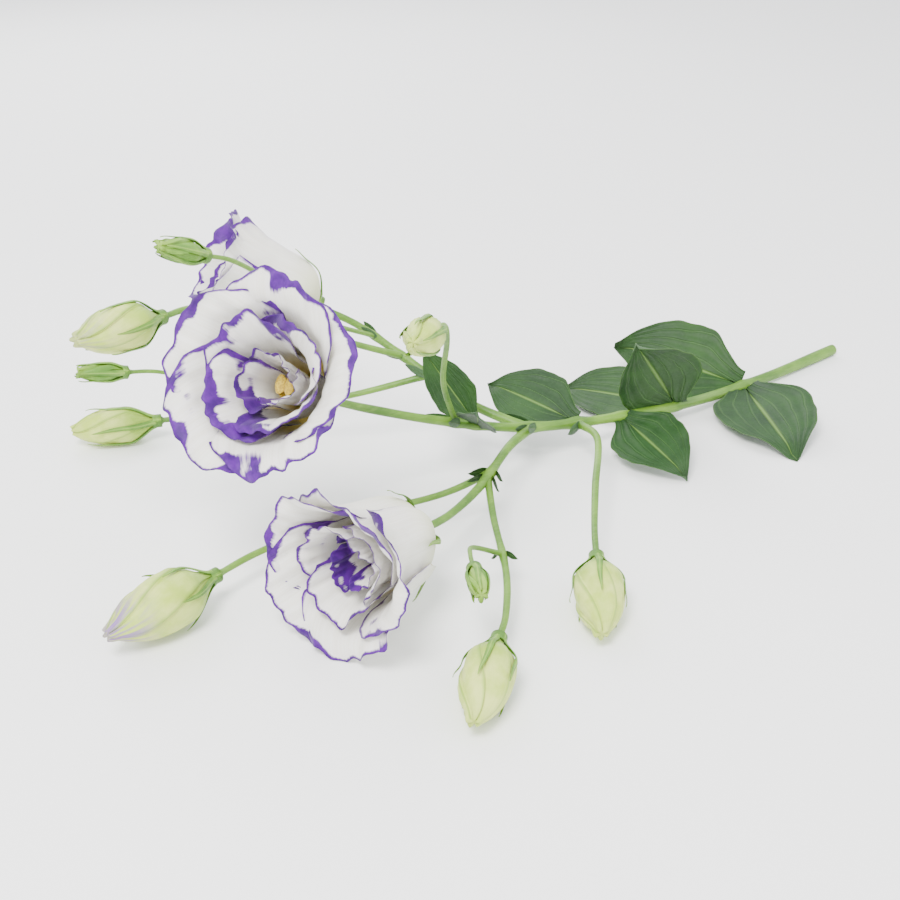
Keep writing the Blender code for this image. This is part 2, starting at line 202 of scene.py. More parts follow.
class Outline:
    """A midline turned round the axis: radius and height from foot to tip."""

    def __init__(self, radius, height):
        self.at = np.linspace(0, 1, len(radius))
        self.radius, self.height = radius, height
        rise, run = np.gradient(height), np.gradient(radius)
        size = np.hypot(rise, run)
        self.out_radius, self.out_height = rise / size, -run / size

    @classmethod
    def of_petal(cls, length, base_radius, lean, steps=96):
        angle = lean_at((np.arange(steps) + 0.5) / steps, lean)
        radius = base_radius + np.concatenate(([0], np.cumsum(np.sin(angle)))) * length / steps
        return cls(radius, np.concatenate(([0], np.cumsum(np.cos(angle)))) * length / steps)

    @classmethod
    def of_bud(cls, length, belly, steps=96):
        s = np.linspace(0, 1, steps + 1)
        taper = np.cos(pi / 2 * np.clip((s - BUD_BELLY) / (1 - BUD_BELLY), 0, 1) ** 1.5)
        low = BUD_FOOT_RADIUS + (belly - BUD_FOOT_RADIUS) * smooth(s / BUD_BELLY)
        high = BUD_TIP_RADIUS + (belly - BUD_TIP_RADIUS) * taper
        return cls(np.where(s < BUD_BELLY, low, high), length * s)

    def __call__(self, s, out=0.0):
        """(radius, height) at a distance out from the outline, on its outer side."""
        def read(values):
            return np.interp(s, self.at, values)
        return (read(self.radius) + out * read(self.out_radius),
                read(self.height) + out * read(self.out_height))


def round_axis(radius, height, around):
    x, y = radius * np.cos(around), radius * np.sin(around)
    return np.stack(np.broadcast_arrays(x, y, height), axis=-1)


# ---- meshes ----

class Surface:
    """A mesh put together from sheets and tubes, with its own UV map and named values at its points."""

    def __init__(self):
        self.points, self.faces, self.uvs, self.values = [], [], [], {}

    def _add(self, points, faces, uvs, values):
        start = len(self.points)
        self.points.extend(points)
        self.faces.extend(tuple(i + start for i in face) for face in faces)
        self.uvs.extend(uvs)
        for name in dict.fromkeys((*self.values, *values)):
            known = self.values.setdefault(name, [0.0] * start)
            known.extend(values.get(name, [0.0] * len(points)))

    def sheet(self, points, thick, uvs, values=None):
        """A thin closed leaf of material, half its thickness on each side of a grid of points."""
        rows, columns = points.shape[:2]
        along, across = np.gradient(points, axis=0), np.gradient(points, axis=1)
        normal = np.cross(across, along)
        normal /= np.maximum(np.linalg.norm(normal, axis=2, keepdims=True), 1e-9)
        half = np.broadcast_to(thick, (rows, columns))[..., None] / 2
        upper, lower = points + normal * half, points - normal * half
        grid = np.arange(rows * columns).reshape(rows, columns)
        quads = np.stack((grid[:-1, :-1], grid[:-1, 1:], grid[1:, 1:], grid[1:, :-1]), -1).reshape(-1, 4)
        other = grid.size
        border = [*grid[0, :-1], *grid[:-1, -1], *grid[-1, :0:-1], *grid[:0:-1, 0]]
        walls = [(b, a, a + other, b + other) for a, b in zip(border, border[1:] + border[:1])]
        faces = [tuple(q) for q in quads] + [tuple(q[::-1] + other) for q in quads] + walls
        both = {name: list(np.broadcast_to(value, (rows, columns)).reshape(-1)) * 2
                for name, value in (values or {}).items()}
        both["upper"] = [1.0] * other + [0.0] * other
        self._add([*upper.reshape(-1, 3), *lower.reshape(-1, 3)], faces, [*uvs.reshape(-1, 2)] * 2, both)

    def turned(self, points, uvs, values=None):
        """A closed body from rings of points, foot first, with its ends closed at their middles."""
        grid = np.arange(points[..., 0].size).reshape(points.shape[:2])
        after = np.roll(grid, -1, axis=1)
        sides = np.stack((grid[:-1], after[:-1], after[1:], grid[1:]), -1).reshape(-1, 4)
        faces = [tuple(side) for side in sides]
        foot, tip = grid.size, grid.size + 1
        for low, low_after, high, high_after in zip(grid[0], after[0], grid[-1], after[-1]):
            faces += [(low_after, low, foot), (high, high_after, tip)]
        ends = [points[0].mean(0), points[-1].mean(0)]
        end_uvs = [np.array((0.5, 0.0)), np.array((0.5, 1.0))]
        flat = {}
        for name, value in (values or {}).items():
            value = np.broadcast_to(value, grid.shape)
            flat[name] = [*value.reshape(-1), value[0].mean(), value[-1].mean()]
        self._add([*points.reshape(-1, 3), *ends], faces, [*uvs.reshape(-1, 2), *end_uvs], flat)

    def tube(self, centres, radii, sides, values):
        """A round tube along the centres."""
        centres = np.array(centres, float)
        radii = np.broadcast_to(radii, len(centres))
        ways = np.gradient(centres, axis=0)
        side = np.array((0.1, 0.2, 1.0))
        rings = []
        turn = np.linspace(0, tau, sides, endpoint=False)[:, None]
        for centre, way, radius in zip(centres, ways, radii):
            way = unit(way)
            side = unit(side - side.dot(way) * way)
            other = np.cross(way, side)
            rings.append(centre + radius * (np.cos(turn) * side + np.sin(turn) * other))
        rows = len(centres)
        uvs = np.stack(np.meshgrid(np.linspace(0, 1, sides), np.linspace(0, 1, rows)), -1)
        self.turned(np.array(rings), uvs, values)

    def draft(self, name, material):
        """The surface as an object, with its UV map and its named values."""
        mesh = bpy.data.meshes.new(name)
        mesh.from_pydata([tuple(float(c) * MM for c in p) for p in self.points], [],
                         [tuple(int(i) for i in f) for f in self.faces])
        corners = np.zeros(len(mesh.loops), np.int32)
        mesh.loops.foreach_get("vertex_index", corners)
        uv_map = mesh.uv_layers.new(name=UV_NAME)
        uv_map.data.foreach_set("uv", np.array(self.uvs, np.float32)[corners].reshape(-1))
        for key, numbers in self.values.items():
            attribute = mesh.attributes.new(key, "FLOAT", "POINT")
            attribute.data.foreach_set("value", np.array(numbers, np.float32))
        mesh.shade_smooth()
        mesh.materials.append(material)
        mesh.validate()
        return linked(name, mesh)

    def finish(self, name, node_names, slot, material):
        return settle(self.draft(name, material), node_names)


def linked(name, data):
    obj = bpy.data.objects.new(name, data)
    bpy.context.scene.collection.objects.link(obj)
    return obj


def settle(piece, node_names):
    """The piece rides on the stem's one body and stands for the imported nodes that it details."""
    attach(piece, "root")
    if node_names:
        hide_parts(*node_names)
    return piece


def grid_uv(columns, rows):
    """u from -1 to 1 across, s from 0 to 1 along, and the UV places of that grid."""
    u, s = np.meshgrid(np.linspace(-1, 1, columns + 1), np.linspace(0, 1, rows + 1))
    return u, s, np.stack((u / 2 + 0.5, s), -1)


def waves(u, random, counts, falloff=1.0):
    """A sum of a few sine waves along u with random phases, about -1 to 1."""
    weights = [falloff**k for k in range(len(counts))]
    total = sum(weight * np.sin(count * pi * u + random.uniform(0, tau))
                for weight, count in zip(weights, counts))
    return total / sum(weights)


def rough(points, size, seed):
    """Smooth noise at each point of a grid, about -1 to 1, with features of that size in millimetres."""
    flat = points.reshape(-1, 3) / size + seed * 7.31
    return np.array([noise.noise(Vector(p)) for p in flat]).reshape(points.shape[:2])


# ---- finishes ----

def add_node(tree, kind, settings=None, inputs=None):
    """A node's outputs, once its settings and then the values or links of its sockets are set."""
    made = tree.nodes.new(kind)
    for key, value in (settings or {}).items():
        setattr(made, key, value)
    for key, value in (inputs or {}).items():
        value = getattr(value, "socket", value)
        if isinstance(value, bpy.types.NodeSocket):
            tree.links.new(value, made.inputs[key])
        elif made.inputs[key].type == "RGBA":
            made.inputs[key].default_value = (*value, 1.0)
        else:
            made.inputs[key].default_value = value
    return made.outputs


class Value:
    """A number from a node. Python's arithmetic on it adds Math nodes."""

    def __init__(self, finish, socket):
        self.finish, self.socket = finish, socket

    def _math(self, operation, *values):
        return self.finish.node("ShaderNodeMath", {"operation": operation}, dict(enumerate(values)))

    def __add__(self, other):
        return self._math("ADD", self, other)

    def __sub__(self, other):
        return self._math("SUBTRACT", self, other)

    def __rsub__(self, other):
        return self._math("SUBTRACT", other, self)

    def __mul__(self, other):
        return self._math("MULTIPLY", self, other)

    def __truediv__(self, other):
        return self._math("DIVIDE", self, other)

    def __pow__(self, other):
        return self._math("POWER", self, other)

    __radd__, __rmul__ = __add__, __mul__

    def clamped(self):
        return self._math("MAXIMUM", self._math("MINIMUM", self, 1.0), 0.0)

    def sine(self):
        return self._math("SINE", self)

    def size(self):
        return self._math("ABSOLUTE", self)

    def step(self, low, high):
        """0 below low, 1 above high, smooth between."""
        return self.finish.node("ShaderNodeMapRange", {"interpolation_type": "SMOOTHSTEP"},
                                {"Value": self, "From Min": low, "From Max": high})


class Finish:
    """A material made of nodes."""

    def __init__(self, name):
        self.material = bpy.data.materials.new(name)
        self.material.use_nodes = True
        self.tree = self.material.node_tree
        self.tree.nodes.clear()

    def node(self, kind, settings=None, inputs=None, output=0):
        return Value(self, add_node(self.tree, kind, settings, inputs)[output])

    def place(self):
        return self.node("ShaderNodeTexCoord", output="Object")

    def uv(self):
        return self.node("ShaderNodeUVMap", {"uv_map": UV_NAME})

    def attribute(self, name):
        return self.node("ShaderNodeAttribute", {"attribute_name": name}, output="Fac")

    def part(self, vector, axis):
        return self.node("ShaderNodeSeparateXYZ", inputs={0: vector}, output=axis)

    def noise(self, vector, scale, detail=3.0, roughness=0.55):
        inputs = {"Vector": vector, "Scale": scale, "Detail": detail, "Roughness": roughness}
        return self.node("ShaderNodeTexNoise", inputs=inputs)

    def streaks(self, vector, scale, detail=3.0, roughness=0.55):
        """Noise with a scale of its own along each axis."""
        stretched = self.node("ShaderNodeVectorMath", {"operation": "MULTIPLY"}, {0: vector, 1: scale})
        return self.noise(stretched, 1.0, detail, roughness)

    def mix(self, factor, first, second):
        settings = {"data_type": "RGBA", "clamp_factor": True}
        return self.node("ShaderNodeMix", settings, {0: factor, 6: first, 7: second}, output=2)

    def bump(self, height, distance, strength):
        inputs = {"Height": height, "Distance": distance, "Strength": strength}
        return self.node("ShaderNodeBump", inputs=inputs, output="Normal")

    def close(self, colour, normal=None, through=0.0, **shader):
        """The output: a Principled shader, with a share of the light let through a thin sheet."""
        shaded = {} if normal is None else {"Normal": normal}
        inputs = {"Base Color": colour, **shaded}
        inputs.update({key.replace("_", " "): value for key, value in shader.items()})
        surface = self.node("ShaderNodeBsdfPrincipled", inputs=inputs)
        if through:
            glow = self.node("ShaderNodeBsdfTranslucent", inputs={"Color": colour, **shaded})
            surface = self.node("ShaderNodeMixShader", inputs={0: through, 1: surface, 2: glow})
        add_node(self.tree, "ShaderNodeOutputMaterial", inputs={"Surface": surface})
        return self.material


def petal_finish(settings):
    """Warm white, cream towards the foot, with an uneven violet margin that runs in along the veins, and
    noise patches of painted shade in the violet.
    """
    f = Finish("petal_white_violet")
    uv, place = f.uv(), f.place()
    along = f.part(uv, "Y")
    rim, outer = f.attribute("rim"), f.attribute("upper")
    blotch = f.noise(place, 52.0, 2.0).step(0.42, 0.70)
    band = settings.band_least + (settings.band_most - settings.band_least) * blotch ** 1.5
    band = band * along.step(0.34, 0.85) * (1 - 0.62 * outer)
    streak = f.streaks(uv, (52.0, 2.4, 1.0), 3.0, 0.6) - 0.5
    fringe = f.noise(place, 620.0, 2.0) - 0.5
    edge = band + streak * (0.5 + 0.50 * band) + fringe * 0.6 - rim
    violet = (edge / (0.5 + 0.16 * band)).clamped() * along.step(0.26, 0.42)
    haze = ((edge + 2.4) / 6.5).clamped() * 0.24 * along.step(0.3, 0.6)
    veins = f.streaks(uv, (95.0, 1.6, 1.0), 2.0, 0.5)
    white = f.mix(veins.step(0.35, 0.7), (0.885, 0.865, 0.80), (0.94, 0.93, 0.89))
    throat, foot = (0.82, 0.66, 0.24), (0.80, 0.83, 0.56)
    body = f.mix(along.step(0.52, 0.10), white, f.mix(outer, throat, foot))
    # Painted shade: in noise patches the margin takes a darker copy of its violet, the violet as it looks
    # in shade.
    margin = f.mix(f.noise(place, 240.0, 3.0).step(0.3, 0.7), settings.violet_in_painted_shade, settings.violet)
    lilac = (0.50, 0.30, 0.74)
    colour = f.mix(violet, f.mix(haze, body, lilac), margin)
    height = veins * 0.6 + f.noise(place, 900.0, 2.0) * 0.25
    return f.close(colour, f.bump(height, 0.00022, 0.8), through=0.22, Roughness=0.55,
                   Sheen_Weight=0.15, Specular_IOR_Level=0.3)


def bud_finish():
    """Pale yellow-green, greener at the foot and along the rolled edges, with fine lengthwise veins."""
    f = Finish("bud_cream")
    uv, place = f.uv(), f.place()
    along = f.part(uv, "Y")
    seam, tip_tint = f.attribute("seam"), f.attribute("tip_tint")
    veins = f.streaks(uv, (120.0, 2.0, 1.0), 2.0, 0.5)
    cloud = f.noise(place, 120.0, 3.0)
    cream = f.mix(cloud.step(0.3, 0.7), (0.47, 0.62, 0.075), (0.66, 0.74, 0.20))
    green = f.mix(cloud.step(0.35, 0.65), (0.17, 0.36, 0.015), (0.28, 0.48, 0.03))
    tip_green, seam_green, vein_green = (0.50, 0.62, 0.12), (0.20, 0.36, 0.03), (0.38, 0.54, 0.08)
    body = f.mix(along.step(0.62, 0.05) * 0.85, cream, green)
    body = f.mix(along.step(0.80, 1.0) * 0.45, body, tip_green)
    lined = f.mix((1 - seam.step(0.0, 0.16)) * 0.7, body, seam_green)
    lined = f.mix(veins.step(0.5, 0.8) * 0.22, lined, vein_green)
    flush = f.streaks(uv, (30.0, 3.0, 1.0), 3.0).step(0.35, 0.6)
    violet = (0.24, 0.07, 0.50)
    colour = f.mix(tip_tint * along.step(0.58, 0.95) * flush * 0.85, lined, violet)
    height = veins * 0.7 + f.noise(place, 700.0, 2.0) * 0.3
    return f.close(colour, f.bump(height, 0.0003, 0.8), through=0.10, Roughness=0.5,
                   Specular_IOR_Level=0.35, Sheen_Weight=0.1)


def from_middle(f, uv):
    """0 along the middle of a blade and 1 at its sides."""
    return (f.part(uv, "X") - 0.5).size() * 2.0


def sepal_finish():
    """Mid green with a paler keel, darker sides and a yellower tip."""
    f = Finish("sepal_green")
    uv, place = f.uv(), f.place()
    along, side = f.part(uv, "Y"), from_middle(f, uv)
    cloud = f.noise(place, 150.0, 3.0)
    keel, dark, tip = (0.36, 0.54, 0.10), (0.06, 0.17, 0.02), (0.26, 0.40, 0.04)
    body = f.mix(cloud.step(0.3, 0.7), (0.09, 0.23, 0.02), (0.20, 0.38, 0.04))
    body = f.mix((1 - side.step(0.05, 0.35)) * 0.5, body, keel)
    body = f.mix(side.step(0.78, 1.0) * 0.6, body, dark)
    colour = f.mix(along.step(0.75, 1.0) * 0.4, body, tip)
    veins = f.streaks(uv, (26.0, 2.0, 1.0), 2.0)
    return f.close(colour, f.bump(veins, 0.0002, 0.7), through=0.08, Roughness=0.48,
                   Specular_IOR_Level=0.4)


def leaf_finish():
    """Dark green and matte above, paler below, with a pale midrib and side veins that arch to the tip."""
    f = Finish("leaf_green")
    uv, place = f.uv(), f.place()
    along, side = f.part(uv, "Y"), from_middle(f, uv)
    upper, tone = f.attribute("upper"), f.attribute("tone")
    arch = side * (VEIN_SLANT + VEIN_FAN * along) - along * VEIN_RISE
    side_veins = (arch * VEINS + f.noise(place, 60.0, 1.0) * 1.6).sine().step(0.82, 1.0)
    side_veins = side_veins * side.step(0.04, 0.12)
    rib = 1 - side.step(0.015, 0.075)
    cloud = f.noise(place, 55.0, 4.0, 0.6)
    fine = f.noise(place, 800.0, 2.0)
    wax, under = (0.05, 0.11, 0.05), (0.10, 0.19, 0.09)
    vein_green, rib_green, edge_green = (0.08, 0.19, 0.04), (0.19, 0.34, 0.07), (0.08, 0.18, 0.03)
    dark = f.mix(cloud.step(0.3, 0.7), (0.006, 0.028, 0.006), (0.015, 0.056, 0.012))
    bright = f.mix(cloud.step(0.3, 0.7), (0.008, 0.043, 0.003), (0.022, 0.082, 0.006))
    face = f.mix(tone, dark, bright)
    face = f.mix(fine.step(0.35, 0.75) * 0.12, face, wax)
    face = f.mix(upper, f.mix(0.55, face, under), face)
    face = f.mix(side_veins * 0.2, face, vein_green)
    face = f.mix(rib * 0.55, face, rib_green)
    colour = f.mix(side.step(0.95, 1.0) * 0.4, face, edge_green)
    height = side_veins * -0.5 + rib * -0.8 + fine * 0.25 + cloud * 0.3
    return f.close(colour, f.bump(height, 0.0005, 0.9), through=0.10, Roughness=0.5 + 0.16 * cloud,
                   Specular_IOR_Level=0.38)


def stem_finish(cut_x):
    """Fresh green with fine lengthwise ridges and darker patches, and a pale face where it was cut."""
    f = Finish("stem_green")
    place = f.place()
    grain = f.streaks(place, (120.0, 900.0, 900.0))
    cloud = f.noise(place, 45.0, 3.0)
    ridge, patch = (0.27, 0.42, 0.08), (0.20, 0.30, 0.13)
    body = f.mix(cloud.step(0.3, 0.72), (0.055, 0.150, 0.010), (0.150, 0.300, 0.028))
    body = f.mix(grain.step(0.45, 0.8) * 0.28, body, ridge)
    body = f.mix(f.noise(place, 16.0, 2.0).step(0.55, 0.75) * 0.35, body, patch)
    pith = f.mix(f.noise(place, 1800.0, 3.0).step(0.3, 0.7), (0.50, 0.56, 0.28), (0.74, 0.78, 0.54))
    colour = f.mix(f.part(place, "X").step(cut_x - 0.00045, cut_x - 0.0003), body, pith)
    height = grain + f.noise(place, 420.0, 2.0) * 0.5
    return f.close(colour, f.bump(height, 0.00022, 0.7), Roughness=0.42 + 0.14 * cloud,
                   Specular_IOR_Level=0.45)


def centre_finish():
    """Grainy golden yellow where the tone is 1, and yellow-green where it is 0."""
    f = Finish("stigma_yellow")
    grit = f.noise(f.place(), 1500.0, 3.0)
    yellow = f.mix(grit.step(0.35, 0.65), (0.50, 0.27, 0.01), (0.80, 0.55, 0.03))
    green = f.mix(grit.step(0.35, 0.65), (0.34, 0.46, 0.08), (0.52, 0.62, 0.16))
    colour = f.mix(f.attribute("tone"), green, yellow)
    return f.close(colour, f.bump(grit, 0.0003, 0.9), Roughness=0.6, Sheen_Weight=0.2)


# ---- settings ----

class PetalSettings(bpy.types.PropertyGroup):
    thickness: bpy.props.FloatProperty(
        name="Thickness", description="Thickness of a petal, in mm", default=0.34, min=0.1, max=1.0)
    ruffle: bpy.props.FloatProperty(
        name="Ruffle", description="Height of the waves along a petal's rim, in mm",
        default=3.1, min=0.0, max=6.0)
    columns: bpy.props.IntProperty(name="Columns", description="Faces across a petal", default=44, min=8)
    rows: bpy.props.IntProperty(name="Rows", description="Faces along a petal", default=44, min=8)
    band_least: bpy.props.FloatProperty(
        name="Least band", description="Narrowest violet margin, in mm", default=1.4, min=0.0)
    band_most: bpy.props.FloatProperty(
        name="Most band", description="Widest violet margin, in mm", default=9.0, min=0.0)
    violet: bpy.props.FloatVectorProperty(
        name="Violet", description="Colour of the margin", subtype="COLOR", size=3, min=0.0, max=1.0,
        default=(0.110, 0.006, 0.285))
    # The margin's violet as it looks in shade: a darker copy that paints shade into the margin.
    violet_in_painted_shade: bpy.props.FloatVectorProperty(
        name="Deep violet", description="Colour of the margin's darker parts", subtype="COLOR", size=3,
        min=0.0, max=1.0, default=(0.048, 0.002, 0.150))


class StemSettings(bpy.types.PropertyGroup):
    sides: bpy.props.IntProperty(name="Sides", description="Faces round a stalk", default=20, min=6)
    node_swell: bpy.props.FloatProperty(
        name="Node swell", description="How much thicker a stalk is at a node", subtype="FACTOR",
        default=0.22, min=0.0, max=1.0)


class StageSettings(bpy.types.PropertyGroup):
    azimuth: bpy.props.FloatProperty(
        name="Azimuth", description="Where the camera stands", subtype="ANGLE", unit="ROTATION",
        default=radians(-33))
    elevation: bpy.props.FloatProperty(
        name="Elevation", description="How high the camera stands", subtype="ANGLE", unit="ROTATION",
        default=radians(28))
    distance: bpy.props.FloatProperty(
        name="Distance", description="From the camera to the stem", unit="LENGTH", default=0.565, min=0.1)
    lens: bpy.props.FloatProperty(
        name="Lens", description="Focal length", unit="CAMERA", default=55.0, min=10.0)


# ---- petals ----

# Shares of a petal's length that its corners, the teeth of its rim and a nick take away.
CORNER_ROUND, TEETH, NICK, NICK_WIDTH = 0.13, 0.030, 0.02, 0.08
TIP_SWIRL = 0.10                 # how far a petal's tip turns round the axis
RIM_WAVE, RIM_WAVES = 1.2, 3     # the wave that all the rims of a flower share
PLEATS, CRUMPLE, FINE_CRUMPLE = 0.22, 0.9, 0.22
# How far the sides and the rim bend outwards, for each whorl from the outermost in.
SIDE_CURL, RIM_ROLL = (1.5, 0.6, -0.6), (2.2, 1.0, -1.2)


def half_angle(s, radius, half_width, count):
    claw = CLAW_SHARE * pi / count
    blade = half_width * (0.30 + 0.70 * smooth(s / 0.62)) * (1 - 0.10 * smooth((s - 0.7) / 0.3)) / radius
    return claw + (np.minimum(blade, PETAL_MOST_ANGLE) - claw) * smooth((s - 0.04) / 0.26)


def petal_surface(whorl, index, depth, stand, settings, random):
    """One petal: a narrow claw and a broad, thin blade whose rim is ruffled, notched and rolled."""
    count, length, half_width, base_radius, lean, turn = whorl
    lean = (lean[0], lean[1], lean[2] + random.uniform(-7, 7))
    outline = Outline.of_petal(length, base_radius, lean)
    u, s, uvs = grid_uv(settings.columns, settings.rows)
    teeth = waves(u, random, (1.9, 4.3, 8.3), 0.6)
    nick = np.exp(-((u - random.uniform(-0.3, 0.3)) / NICK_WIDTH) ** 2)
    reach = 1 - CORNER_ROUND * abs(u) ** 3 - TEETH * (1 + teeth) - NICK * nick
    along = s * reach
    radius, _ = outline(along)
    free = smooth((along - 0.45) / 0.55)
    around = radians(turn) + tau * index / count + u * half_angle(along, radius, half_width, count)
    around = around + TIP_SWIRL * along**2 + 0.02 * free * waves(s * 2, random, (1.0, 2.2))
    shared = RIM_WAVE * smooth((along - 0.5) / 0.5) * np.sin(RIM_WAVES * around + radians(turn))
    ruffle = waves(u + 0.25 * s, random, (1.4, 2.7, 4.6, 7.4), 0.78)
    pleats = waves(u, random, (7.0, 11.0, 17.0), 0.8)
    sides = abs(u) ** 3 * smooth((along - 0.3) / 0.4)
    roll = smooth((along - 0.80) / 0.20) ** 2
    out = WRAP * u * smooth((along - 0.02) / 0.2) + shared
    out = out + settings.ruffle * free**1.6 * ruffle * (0.55 + 0.45 * abs(u))
    out = out + PLEATS * pleats * smooth((along - 0.2) / 0.5)
    out = out + SIDE_CURL[depth] * sides * random.uniform(0.3, 1.2)
    out = out + RIM_ROLL[depth] * roll * (0.6 + 0.7 * waves(u, random, (1.1, 2.7)))
    points = round_axis(*outline(along, out), around)
    crumple = CRUMPLE * rough(points, 9.0, random.uniform(0, 9))
    crumple = crumple + FINE_CRUMPLE * rough(points, 3.6, random.uniform(0, 9))
    points = round_axis(*outline(along, out + crumple * smooth((along - 0.15) / 0.5)), around)
    across_mm = (1 - abs(u)) * np.linalg.norm(points[:, -1] - points[:, 0], axis=1)[:, None] * 0.5
    tip_mm = (1 - s) * length * reach
    rim = 1 / (1 / (across_mm + 0.01) ** 2 + 1 / (tip_mm + 0.01) ** 2) ** 0.5
    thick = settings.thickness * (0.35 + 0.65 * smooth(rim / 3.0))
    thick = thick * (1 + 0.8 * (1 - smooth(along / 0.35)))
    surface = Surface()
    surface.sheet(lifted(stand(points)), thick, uvs, {"rim": rim})
    return surface


def lifted(points, clear=0.35):
    """Points kept on or above the surface that the stem lies on, flattened where they press on it."""
    points[..., 2] = np.maximum(points[..., 2], clear)
    return points


class LISIANTHUS_OT_petals(bpy.types.Operator):
    """Builds every petal of the three flowers"""
    bl_idname = "lisianthus.petals"
    bl_label = "Petals"

    def execute(self, context):
        settings = context.scene.lisianthus_petals
        material = petal_finish(settings)
        for flower, (stalk, whorls) in FLOWERS.items():
            stand = Stand(stalk)
            number = 0
            for depth, whorl in enumerate(whorls):
                for index in range(whorl[0]):
                    number += 1
                    name = f"{flower}_petal_{number}"
                    surface = petal_surface(whorl, index, depth, stand, settings, Random(name))
                    surface.finish(f"look_{name}", [name], "petal_white_violet", material)
        return {"FINISHED"}


# ---- calyces ----

def add_sepals(surface, outline, stand, reach, foot_radius, spread, random, tip_lift, foot_half):
    """Five long thin sepals with a keel, joined in a short cup, their tips free and hair-fine."""
    turn, up, uvs = grid_uv(60, 6)
    radius, height = outline(CUP_TOP * up, 0.55)
    radius = np.maximum(radius, foot_radius + 0.25)
    cup = round_axis(radius, np.where(up == 0, CUP_FOOT, height), (turn + 1) * pi + pi / 10)
    surface.sheet(stand(cup), 0.45, uvs * (10, 0.1))
    start = CUP_TOP * 0.4
    for lobe in range(LOBES):
        middle = tau * (2 * lobe + 0.5) / (2 * LOBES) + random.uniform(-0.06, 0.06)
        own_reach = reach * random.uniform(0.92, 1.08)
        v, t, uvs = grid_uv(8, 34)
        s = np.clip(start + (own_reach - start) * t, 0, 1)
        half = foot_half * (1 - t) ** 0.75 * (0.75 + 0.5 * t) + 0.10
        lift = tip_lift * random.uniform(0.3, 1.2) * smooth((t - 0.55) / 0.45) ** 2
        keel = 0.45 * (1 - abs(v)) * (1 - t)
        radius, height = outline(s, 0.45 + spread * smooth((s - 0.02) / 0.2) + keel + lift)
        middle = middle + random.uniform(-0.16, 0.16) * smooth((t - 0.3) / 0.7)
        middle = middle + 0.05 * np.sin(5 * t + random.uniform(0, 6))
        blade = round_axis(radius, height, middle + v * half / np.maximum(radius, 1.5))
        surface.sheet(lifted(stand(blade), 0.25), 0.30 - 0.12 * t, uvs)


class LISIANTHUS_OT_calyces(bpy.types.Operator):
    """Builds the calyx of every flower and bud"""
    bl_idname = "lisianthus.calyces"
    bl_label = "Calyces"

    def execute(self, context):
        material = sepal_finish()

        def add(name, node, outline, stalk, *shape):
            surface = Surface()
            if name in GREEN_BUDS:
                add_bud(surface, outline, Stand(stalk), 0.0, Random(name))
            *sizes, tip_lift, foot_half = shape
            add_sepals(surface, outline, Stand(stalk), *sizes, Random(name + "calyx"), tip_lift, foot_half)
            surface.finish(f"look_{node}", [node], "sepal_green", material)

        for flower, (stalk, whorls) in FLOWERS.items():
            _, length, _, base_radius, lean, _ = whorls[0]
            outline = Outline.of_petal(length, base_radius, lean)
            add(flower, f"{flower}_calyx", outline, stalk, 0.42, DISC_RADIUS, WRAP + 0.2, 3.2, 1.55)
        for bud, (length, belly, reach, _) in BUDS.items():
            outline = Outline.of_bud(length, belly)
            add(bud, f"{bud}_calyx", outline, bud, reach, BUD_DISC_RADIUS, 0.3, 2.0, 1.55)
        for bud, (length, belly) in GREEN_BUDS.items():
            add(bud, bud, Outline.of_bud(length, belly), bud, 1.0, 1.6, 0.2, 1.6, 1.5)
        return {"FINISHED"}


# ---- buds ----

def add_bud(surface, outline, stand, tip_tint, random):
    """Five petals rolled round each other: each seam winds up the bud, and the tip is a loose twist."""
    shares = np.concatenate(([0.0, 0.015, 0.04], np.linspace(0.09, 0.93, 12), [0.975]))
    phase = np.concatenate([lobe + shares for lobe in range(LOBES)])[None, :]
    s = np.concatenate((np.linspace(0, 0.9, 60), np.linspace(0.915, 1.0, 10)))[:, None]
    lobe = np.floor(phase)
    own = phase - lobe
    wind = BUD_TWIST * s**1.3 + random.uniform(0, 1)
    flare = smooth((s - 0.90) / 0.10)
    step = (0.35 + 0.55 * smooth((s - 0.1) / 0.5)) * (1 - 0.35 * flare)
    crown = np.sin(pi * own)
    out = step * (1 - smooth(own * 1.05)) + 0.35 * crown * smooth(s / 0.3) - 0.35
    out = out + 0.10 * np.sin(own * 31) * smooth(s / 0.2)
    uneven = np.array([random.uniform(-1, 1) for _ in range(LOBES)])[lobe.astype(int)]
    radius, height = outline(s, out)
    radius = radius + flare * (0.55 + 0.5 * crown + 0.35 * uneven)
    height = height + flare * (0.9 * uneven + 1.1 * crown - 0.8)
    points = round_axis(np.maximum(radius, 0.15), height, (phase - wind) * tau / LOBES)
    uvs = np.stack(np.broadcast_arrays(phase / LOBES, s), -1)
    surface.turned(lifted(stand(points), 0.2), uvs,
                   {"seam": np.minimum(own, 1 - own * 0.6), "tip_tint": tip_tint})


class LISIANTHUS_OT_buds(bpy.types.Operator):
    """Builds the rolled petals of the cream buds"""
    bl_idname = "lisianthus.buds"
    bl_label = "Buds"

    def execute(self, context):
        material = bud_finish()
        for bud, (length, belly, _, tip_tint) in BUDS.items():
            surface = Surface()
            add_bud(surface, Outline.of_bud(length, belly), Stand(bud), tip_tint, Random(bud))
            surface.finish(f"look_{bud}_petals", [f"{bud}_petals"], "bud_cream", material)
        return {"FINISHED"}


# ---- flower centres ----

